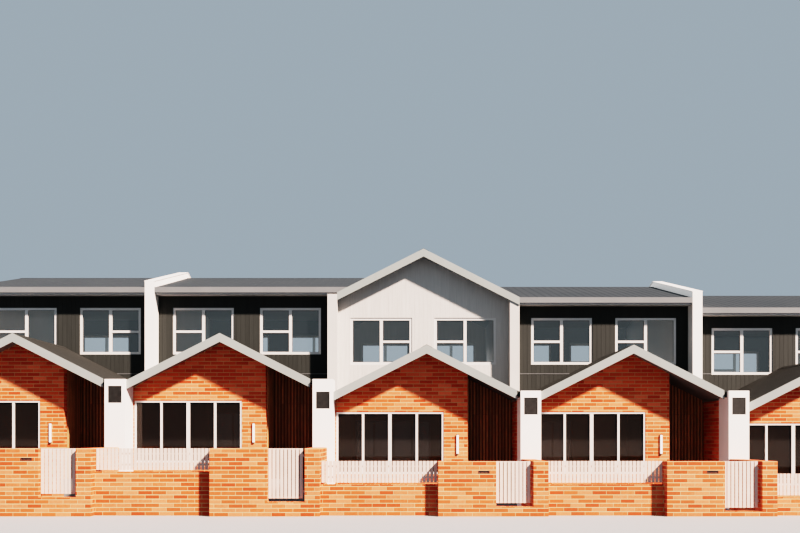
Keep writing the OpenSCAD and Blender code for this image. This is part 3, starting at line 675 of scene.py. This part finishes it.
class Pieces:
    """Small solids gathered into one mesh, each with its own tone."""

    def __init__(self):
        self.points, self.faces, self.tones = [], [], []

    def block(self, foot, head, tone=0.5):
        """A closed solid between two rings of four points that turn the same way."""
        base = len(self.points)
        self.points.extend(tuple(point) for point in (*foot, *head))
        sides = [(i, (i + 1) % 4, 4 + (i + 1) % 4, 4 + i) for i in range(4)]
        for quad in ((3, 2, 1, 0), (4, 5, 6, 7), *sides):
            self.faces.append([base + k for k in quad])
        self.tones.extend([tone] * 6)

    def slab(self, face, corners, low, high, chamfer=0.0, tone=0.5, turned=False):
        """A slab on a flat face. corners run round the outline from its lower left."""
        first, second = (face.up, face.along) if turned else (face.along, face.up)
        origin = face.normal * face.offset
        signs = ((1, 1), (-1, 1), (-1, -1), (1, -1))
        rings = []
        for depth, inset in ((low, 0.0), (high, chamfer)):
            ring = [
                origin + first * (s + a * inset) + second * (t + b * inset) + face.normal * depth
                for (s, t), (a, b) in zip(corners, signs)
            ]
            rings.append(ring[::-1] if turned else ring)
        self.block(*rings, tone)

    def box(self, lo, hi):
        rings = [
            [(lo[0], lo[1], z), (hi[0], lo[1], z), (hi[0], hi[1], z), (lo[0], hi[1], z)]
            for z in (lo[2], hi[2])
        ]
        self.block(*rings)

    def ring(self, x0, x1, z0, z1, width, y0, y1):
        """An upright rectangular ring that faces along Y."""
        base = len(self.points)
        for y in (y0, y1):
            for inset in (0.0, width):
                for x, z in (
                    (x0 + inset, z0 + inset),
                    (x1 - inset, z0 + inset),
                    (x1 - inset, z1 - inset),
                    (x0 + inset, z1 - inset),
                ):
                    self.points.append((x, y, z))
        for i in range(4):
            j = (i + 1) % 4
            for quad in (
                (i, j, 4 + j, 4 + i),
                (8 + j, 8 + i, 12 + i, 12 + j),
                (j, i, 8 + i, 8 + j),
                (4 + i, 4 + j, 12 + j, 12 + i),
            ):
                self.faces.append([base + k for k in quad])
        self.tones.extend([0.5] * 16)

    def make(self, name, finish, slot, body="row"):
        if not self.faces:
            raise RuntimeError("nothing was made for " + name)
        mesh = bpy.data.meshes.new(name)
        mesh.from_pydata(self.points, [], self.faces)
        tones = mesh.attributes.new("tone", "FLOAT", "FACE")
        tones.data.foreach_set("value", self.tones)
        mesh.materials.append(finish_of(finish))
        piece = bpy.data.objects.new(name, mesh)
        bpy.context.scene.collection.objects.link(piece)
        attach(piece, body)
        return piece


def unit_tone(*place):
    return random.Random(str(place)).random()


def clipped(span, limits):
    return max(span[0], limits[0]), min(span[1], limits[1])


def lay_courses(pieces, face, settings, limits=None):
    """Stretcher bond over an upright face, cut to its outline."""
    step = settings.brick_length + settings.head
    plane = (round(face.normal.x), round(face.normal.y), round(face.offset, 2))
    for row, z0, z1, lower, upper in bands(face.edges, settings.course, settings.joint):
        shift = (row % 2) * step / 2
        if limits:
            lower, upper = clipped(lower, limits), clipped(upper, limits)
        first = math.floor((min(lower[0], upper[0]) - shift) / step)
        last = math.ceil((max(lower[1], upper[1]) - shift) / step)
        for k in range(first, last):
            s0 = shift + k * step
            s1 = s0 + settings.brick_length
            a0, a1 = max(s0, lower[0]), min(s1, lower[1])
            b0, b1 = max(s0, upper[0]), min(s1, upper[1])
            if max(a1 - a0, b1 - b0) < LEAST_LENGTH:
                continue
            if a1 < a0:
                a0 = a1 = min(max((a0 + a1) / 2, b0), b1)
            if b1 < b0:
                b0 = b1 = min(max((b0 + b1) / 2, a0), a1)
            tone = unit_tone(plane, row, k)
            pieces.slab(face, [(a0, z0), (a1, z0), (b1, z1), (b0, z1)],
                        ROOT, settings.proud, BRICK_EDGE, tone)


def lay_tops(pieces, face, settings, limits=None):
    """Bricks on edge across a level face."""
    x0, x1, y0, y1 = face.size()
    turned = (x1 - x0) > (y1 - y0)
    edges = face.swapped() if turned else face.edges
    for row, t0, t1, lower, upper in bands(edges, settings.course, settings.joint):
        if limits and not limits[0] < (t0 + t1) / 2 < limits[1]:
            continue
        a, b = max(lower[0], upper[0]), min(lower[1], upper[1])
        count = max(1, round((b - a) / settings.brick_length))
        each = (b - a + settings.head) / count
        for k in range(count):
            s0 = a + k * each
            s1 = s0 + each - settings.head
            tone = unit_tone(round(face.offset, 2), row, k)
            pieces.slab(face, [(s0, t0), (s1, t0), (s1, t1), (s0, t1)],
                        ROOT, settings.proud, BRICK_EDGE, tone, turned)


def board_over(pieces, face, pitch, gap, depth, chamfer=0.0, start=0.0, trim=0.0, trim_top=0.0,
               seed=0, end=math.inf):
    """Upright boards, battens or ribs over a face, cut to its outline."""
    for number, t0, t1, lower, upper in bands(face.swapped(), pitch, gap, start):
        if t1 > end:
            continue
        a0, a1 = lower[0] + trim, lower[1] - trim - trim_top
        b0, b1 = upper[0] + trim, upper[1] - trim - trim_top
        if min(a1 - a0, b1 - b0) > LEAST_LENGTH:
            pieces.slab(face, [(a0, t0), (a1, t0), (b1, t1), (b0, t1)], ROOT, depth, chamfer,
                        unit_tone(seed, number), True)


# Pieces of the row


class HOUSEROW_OT_brickwork(bpy.types.Operator):
    """Lays the bricks of the house walls, the porches and the row's ends"""

    bl_idname = "house_row.brickwork"
    bl_label = "Brickwork"

    def execute(self, context):
        settings = context.scene.house_row_bricks
        front, rear = Pieces(), Pieces()
        gable_box, rear_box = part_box("front_gable_walls"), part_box("rear_brick_walls")
        porch_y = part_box("porch_back_walls")[0].y
        brick_y, rear_y = gable_box[0].y, rear_box[1].y
        for face in flat_faces("front_gable_walls", FRONT, RIGHT, LEFT):
            lay_courses(front, face, settings)
        for face in flat_faces("rear_brick_walls", REAR, RIGHT, LEFT):
            lay_courses(rear, face, settings)
        for node, pieces in (("front_gable_walls", front), ("rear_brick_walls", rear)):
            for face in flat_faces(node, TOP, UNDER):
                if abs(face.offset) > NEAR:
                    lay_tops(pieces, face, settings)
        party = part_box("party_walls")
        end_x = max(party[1].x, -party[0].x)
        for face in flat_faces("party_walls", RIGHT, LEFT):
            if abs(face.offset - end_x) < NEAR:
                lay_courses(rear, face, settings)
            elif face.normal.x > 0:
                lay_courses(rear, face, settings, (rear_y, party[1].y))
            else:
                lay_courses(rear, face, settings, (-party[1].y, -rear_y))
                lay_courses(front, face, settings, (-porch_y, -brick_y))
        for face in flat_faces("party_walls", REAR):
            lay_courses(rear, face, settings)
        for face in flat_faces("party_walls", TOP):
            lay_tops(rear, face, settings, (rear_y, party[1].y))
        front.make("front_brickwork", "brick", "brick")
        rear.make("rear_brickwork", "brick", "brick")
        return {"FINISHED"}


class HOUSEROW_OT_fence_bricks(bpy.types.Operator):
    """Lays the bricks of the fence walls, gate piers, dividing walls and plinths"""

    bl_idname = "house_row.fence_bricks"
    bl_label = "Fence bricks"

    def execute(self, context):
        settings = context.scene.house_row_bricks
        pieces = Pieces()
        for node in FENCE_NODES:
            for face in flat_faces(node, FRONT, REAR, RIGHT, LEFT):
                lay_courses(pieces, face, settings)
            for face in flat_faces(node, TOP):
                lay_tops(pieces, face, settings)
        pieces.make("fence_brickwork", "brick", "brick")
        return {"FINISHED"}


class HOUSEROW_OT_cladding(bpy.types.Operator):
    """Boards the upper walls and runs the joint strip across the dark ones"""

    bl_idname = "house_row.cladding"
    bl_label = "Cladding"

    def execute(self, context):
        settings = context.scene.house_row_cladding
        dark, white, strips = Pieces(), Pieces(), Pieces()
        for node, way, pieces in (
            ("dark_front_walls", FRONT, dark),
            ("dark_rear_walls", REAR, dark),
            ("white_gable_walls", FRONT, white),
            ("white_gable_walls", REAR, white),
        ):
            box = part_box(node)
            outer = -box[0].y if way is FRONT else box[1].y
            for face in flat_faces(node, way):
                if abs(face.offset - outer) > NEAR:
                    continue
                board_over(pieces, face, settings.board, settings.groove,
                           settings.proud if pieces is dark else settings.flush,
                           BOARD_EDGE, seed=way[1])
                if pieces is dark:
                    level, top = settings.strip_z, settings.strip_z + settings.strip_h
                    for a, b in crossings(face.edges, level):
                        strips.slab(face, [(a, level), (b, level), (b, top), (a, top)], 0.0,
                                    settings.proud + STRIP_D, 2 * BOARD_EDGE)
        dark.make("dark_cladding_boards", "dark_boards", "dark_cladding")
        white.make("white_cladding_boards", "white_boards", "white_cladding")
        strips.make("joint_strips", "gutter", "cream_gutter")
        return {"FINISHED"}


class HOUSEROW_OT_battens(bpy.types.Operator):
    """Sets the upright battens of the porch back walls, the room sides and the doors"""

    bl_idname = "house_row.battens"
    bl_label = "Porch battens"

    def execute(self, context):
        settings = context.scene.house_row_cladding
        pieces = Pieces()
        doors = solid_boxes("entry_doors")
        gap = settings.batten - settings.batten_w
        back_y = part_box("porch_back_walls")[0].y - settings.batten_d
        for node, way, seed, end in (
            ("porch_back_walls", FRONT, "screen", math.inf),
            ("entry_doors", FRONT, "door", math.inf),
            ("room_side_walls", RIGHT, "side", back_y),
        ):
            for face in flat_faces(node, way):
                x0, x1, _, _ = face.size()
                if seed == "screen":
                    x0 = [lo.x for lo, _ in doors if x0 < lo.x < x1][0]
                board_over(pieces, face, settings.batten, gap, settings.batten_d, BATTEN_EDGE,
                           x0, BATTEN_EDGE, seed=seed, end=end)
        pieces.make("porch_battens", "dark_timber", "dark_timber")
        return {"FINISHED"}


class HOUSEROW_OT_roofs(bpy.types.Operator):
    """Raises the ribs of the roof sheets"""

    bl_idname = "house_row.roofs"
    bl_label = "Roof ribs"

    def execute(self, context):
        settings = context.scene.house_row_roofs
        ribs, front_ribs = Pieces(), Pieces()
        for node, pieces in (
            ("front_gable_roofs", front_ribs),
            ("main_roofs", ribs),
            ("white_gable_roof", ribs),
        ):
            for face in flat_faces(node, TOP, least=0.5):
                board_over(pieces, face, settings.rib_gap, settings.rib_gap - settings.rib_w,
                           settings.rib_h, RIB_SIDE, RIB_START, RIB_END, settings.cap_reach)
        ribs.make("roof_ribs", "roof_sheet", "grey_roof")
        front_ribs.make("front_roof_ribs", "front_sheet", "grey_roof")
        return {"FINISHED"}


class HOUSEROW_OT_windows(bpy.types.Operator):
    """Fits sashes to the lights that open, and dark seals round the glass"""

    bl_idname = "house_row.windows"
    bl_label = "Window sashes and seals"

    def execute(self, context):
        settings = context.scene.house_row_windows
        sashes, seals = Pieces(), Pieces()
        middle_y = sum(v.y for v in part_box("upper_window_frames")) / 2
        for front in (True, False):
            outward = -1 if front else 1
            windows = []
            boxes = [b for b in solid_boxes("upper_window_frames") if (b[0].y < middle_y) == front]
            for (lo, hi), right in zip(boxes, TRANSOM_RIGHT, strict=True):
                windows.append((lo, hi, self.upper(settings, lo, hi, right)))
            for lo, hi in solid_boxes("ground_window_frames"):
                if (lo.y < middle_y) == front:
                    windows.append((lo, hi, self.ground(settings, lo, hi)))
            for lo, hi, lights in windows:
                face = lo.y if front else hi.y
                glass = face - outward * settings.bar_d
                for x0, x1, z0, z1, opens in lights:
                    if opens:
                        ys = sorted((glass, face - outward * SASH_IN))
                        sashes.ring(x0, x1, z0, z1, settings.sash_w, *ys)
                        x0, x1 = x0 + settings.sash_w, x1 - settings.sash_w
                        z0, z1 = z0 + settings.sash_w, z1 - settings.sash_w
                    ys = sorted((glass, glass + outward * SEAL_D))
                    seals.ring(x0, x1, z0, z1, settings.seal_w, *ys)
        sashes.make("window_sashes", "window_paint", "white_frame")
        seals.make("window_seals", "dark_seal", "dark_panel")
        return {"FINISHED"}

    def upper(self, settings, lo, hi, transom_right):
        """The lights of an upper window: low and high X, low and high Z, and whether it opens."""
        f, half = settings.upper_frame_w, settings.upper_bar_w / 2
        middle = (lo.x + hi.x) / 2
        z0, z1 = lo.z + f, hi.z - f
        split = lo.z + settings.transom_up
        lights = []
        for right in (False, True):
            x0, x1 = (middle + half, hi.x - f) if right else (lo.x + f, middle - half)
            if right == transom_right:
                lights.append((x0, x1, z0, split, True))
                lights.append((x0, x1, split + settings.transom_h, z1, True))
            else:
                lights.append((x0, x1, z0, z1, False))
        return lights

    def ground(self, settings, lo, hi):
        """The four lights of a ground floor window. The outer two open."""
        f, bar, middle = settings.frame_w, settings.bar_w, settings.middle_w
        width = (hi.x - lo.x - 2 * f - middle - 2 * bar) / 4
        lights, x0 = [], lo.x + f
        for opens, after in ((True, bar), (False, middle), (False, bar), (True, f)):
            lights.append((x0, x0 + width, lo.z + f, hi.z - f, opens))
            x0 += width + after
        return lights


class HOUSEROW_OT_wall_lights(bpy.types.Operator):
    """Makes the rounded bar lights beside the porches"""

    bl_idname = "house_row.wall_lights"
    bl_label = "Wall lights"

    def execute(self, context):
        settings = context.scene.house_row_finishes
        inset, cap = settings.lamp_in, LAMP_CAP
        back_in, cap_in, cap_back = 0.012, 0.004, 0.006
        bars, plates = Pieces(), Pieces()
        for lo, hi in solid_boxes("wall_lights"):
            x0, x1, z0, z1 = lo.x + inset, hi.x - inset, lo.z, hi.z
            back_y = hi.y - LAMP_BACK
            plates.box((x0 + back_in, back_y, z0 + back_in), (x1 - back_in, hi.y, z1 - back_in))
            for low, high in ((z0, z0 + cap), (z1 - cap, z1)):
                plates.box((x0 + cap_in, lo.y + cap_back, low), (x1 - cap_in, back_y, high))
            bars.box((x0, lo.y, z0 + cap), (x1, back_y, z1 - cap))
        bar = bars.make("wall_light_bars", "white_lamp", "white_lamp")
        bevel = bar.modifiers.new("rounding", "BEVEL")
        bevel.width, bevel.segments, bevel.limit_method = settings.lamp_round, 4, "ANGLE"
        plates.make("wall_light_plates", "dark_bronze", "pale_metal")
        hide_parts("wall_lights")
        return {"FINISHED"}


class HOUSEROW_OT_letter_slots(bpy.types.Operator):
    """Frames the letter slots of the fence walls and hangs their flaps"""

    bl_idname = "house_row.letter_slots"
    bl_label = "Letter slots"

    def execute(self, context):
        rim, proud = SLOT_RIM, SLOT_PROUD
        widest, deepest = 0.5, 0.2
        depth, flap_in, flap_back, flap_t = 0.01, 0.004, 0.012, 0.005
        pieces = Pieces()
        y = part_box("fence_walls")[0].y
        for face in flat_faces("fence_walls", TOP):
            x0, x1, y0, y1 = face.size()
            if x1 - x0 < widest and y1 - y0 < deepest:
                z0 = face.offset
                z1 = z0 + self.slot_height(face, x0, x1)
                pieces.ring(x0 - rim, x1 + rim, z0 - rim, z1 + rim, rim, y - proud, y + depth)
                pieces.box((x0 + flap_in, y + flap_back, z0 + flap_in),
                           (x1 - flap_in, y + flap_back + flap_t, z1 - flap_in / 2))
        pieces.make("letter_slot_frames", "dark_bronze", "pale_metal")
        return {"FINISHED"}

    def slot_height(self, floor, x0, x1):
        for face in flat_faces("fence_walls", UNDER):
            a, b, _, _ = face.size()
            if abs(a - x0) < NEAR and abs(b - x1) < NEAR and -face.offset > floor.offset:
                return -face.offset - floor.offset
        raise RuntimeError("a letter slot has no head")


class HOUSEROW_OT_finishes(bpy.types.Operator):
    """Gives every piece of the frame that stays in view its finish"""

    bl_idname = "house_row.finishes"
    bl_label = "Finishes of the frame"

    PAINTED = {
        "mortar": ("party_walls", "front_gable_walls", "rear_brick_walls", *FENCE_NODES),
        "concrete": ("ground_slabs",),
        "floor_board": ("upper_floors",),
        "white_render": ("end_walls", "parapet_blades", "entry_piers"),
        "wing_render": ("wing_walls",),
        "white_capping": ("parapet_cappings",),
        "pale_metal": ("box_gutters", "gate_hinges"),
        "dark_panel": ("pier_panels",),
        "timber_backing": ("porch_back_walls", "room_side_walls", "entry_doors"),
        "roof_sheet": ("main_roofs", "white_gable_roof"),
        "front_sheet": ("front_gable_roofs",),
        "roof_capping": ("ridge_cappings",),
        "barge_board": ("front_barges", "white_gable_barges"),
        "dark_boards": ("dark_front_walls", "dark_rear_walls"),
        "white_boards": ("white_gable_walls",),
        "window_paint": ("ground_window_frames", "upper_window_frames"),
        "upper_glass": ("upper_window_glass",),
        "ground_glass": ("ground_window_glass",),
        "gutter": ("eaves_gutters",),
        "grey_board": ("eaves_boards",),
        "white_lamp": ("wall_lights",),
        "white_fence": tuple(f"{kind}_{n}" for kind in ("picket_fence", "gate") for n in HOUSES),
    }

    def execute(self, context):
        done = set()
        for finish, nodes in self.PAINTED.items():
            for node in nodes:
                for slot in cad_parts[node].material_slots:
                    slot.material = finish_of(finish)
                done.add(node)
        missing = set(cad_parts) - done
        if missing:
            raise RuntimeError("no finish for " + ", ".join(sorted(missing)))
        return {"FINISHED"}


class HOUSEROW_OT_stage(bpy.types.Operator):
    """Sets the floor, the lights and the camera"""

    bl_idname = "house_row.stage"
    bl_label = "Stage"

    def execute(self, context):
        scene, settings = context.scene, context.scene.house_row_stage
        lo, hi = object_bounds()
        mesh = bpy.data.meshes.new("studio_floor")
        reach = FLOOR_REACH
        mesh.from_pydata(
            [(-reach, -reach, 0), (reach, -reach, 0), (reach, reach, 0), (-reach, reach, 0)],
            [], [(0, 1, 2, 3)],
        )
        paint = Paint("studio_floor")
        cloud = paint.noise(0.2, 2.0)
        mesh.materials.append(paint.finish(paint.vary(cloud, settings.floor, 0.97, 1.03), 0.9))
        floor = bpy.data.objects.new("studio_floor", mesh)
        scene.collection.objects.link(floor)
        floor.visible_diffuse = False
        floor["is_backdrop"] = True
        world = bpy.data.worlds.new("studio")
        world.use_nodes = True
        sky = world.node_tree.nodes["Background"]
        sky.inputs["Color"].default_value = (*settings.fill, 1.0)
        sky.inputs["Strength"].default_value = 1.0
        scene.world = world
        key = self.light(scene, "key_light", settings.sun, 3.0, settings.sun_way)
        key.data.color = settings.sun_colour
        back_power = settings.sun * settings.back_share
        back = self.light(scene, "back_light", back_power, 25.0, settings.back_way)
        back.visible_glossy = False
        lens = bpy.data.cameras.new("camera")
        lens.lens, lens.sensor_width, lens.shift_y = settings.lens, 36.0, settings.rise
        lens.clip_start, lens.clip_end = 0.5, 3000.0
        camera = bpy.data.objects.new("camera", lens)
        camera.location = (settings.eye_x, lo.y - settings.eye_back, settings.eye_up)
        camera.rotation_euler = (math.radians(90.0), 0.0, 0.0)
        scene.collection.objects.link(camera)
        scene.camera = camera
        scene.view_settings.view_transform = "Filmic"
        scene.view_settings.look = "Very High Contrast"
        return {"FINISHED"}

    def light(self, scene, name, power, softness, way):
        """A light from far off. Its softness is the angle that it spans, in degrees."""
        light = bpy.data.lights.new(name, "SUN")
        light.energy, light.angle = power, math.radians(softness)
        lamp = bpy.data.objects.new(name, light)
        lamp.rotation_mode = "QUATERNION"
        lamp.rotation_quaternion = way.to_track_quat("-Z", "Y")
        scene.collection.objects.link(lamp)
        return lamp


class HOUSEROW_PT_panel(bpy.types.Panel):
    """Lists the pieces of the row"""

    bl_label = "House Row"
    bl_idname = "HOUSEROW_PT_panel"
    bl_space_type = "VIEW_3D"
    bl_region_type = "UI"
    bl_category = "House Row"

    def draw(self, context):
        for operator in OPERATORS:
            self.layout.operator(operator.bl_idname)
        for name in SETTINGS:
            group = getattr(context.scene, name)
            box = self.layout.box()
            for key in group.__class__.__annotations__:
                box.prop(group, key)


SETTINGS = {
    "house_row_bricks": BrickSettings,
    "house_row_cladding": CladdingSettings,
    "house_row_roofs": RoofSettings,
    "house_row_windows": WindowSettings,
    "house_row_finishes": FinishSettings,
    "house_row_stage": StageSettings,
}
OPERATORS = (
    HOUSEROW_OT_finishes,
    HOUSEROW_OT_brickwork,
    HOUSEROW_OT_fence_bricks,
    HOUSEROW_OT_cladding,
    HOUSEROW_OT_battens,
    HOUSEROW_OT_roofs,
    HOUSEROW_OT_windows,
    HOUSEROW_OT_wall_lights,
    HOUSEROW_OT_letter_slots,
    HOUSEROW_OT_stage,
)


def register():
    for name, group in SETTINGS.items():
        bpy.utils.register_class(group)
        setattr(bpy.types.Scene, name, bpy.props.PointerProperty(type=group))
    for cls in (*OPERATORS, HOUSEROW_PT_panel):
        bpy.utils.register_class(cls)


def unregister():
    for cls in reversed((*OPERATORS, HOUSEROW_PT_panel)):
        bpy.utils.unregister_class(cls)
    for name, group in SETTINGS.items():
        delattr(bpy.types.Scene, name)
        bpy.utils.unregister_class(group)


def main():
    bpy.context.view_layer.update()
    register()
    for operator in OPERATORS:
        group, name = operator.bl_idname.split(".")
        getattr(getattr(bpy.ops, group), name)()


if __name__ == "__main__":
    main()
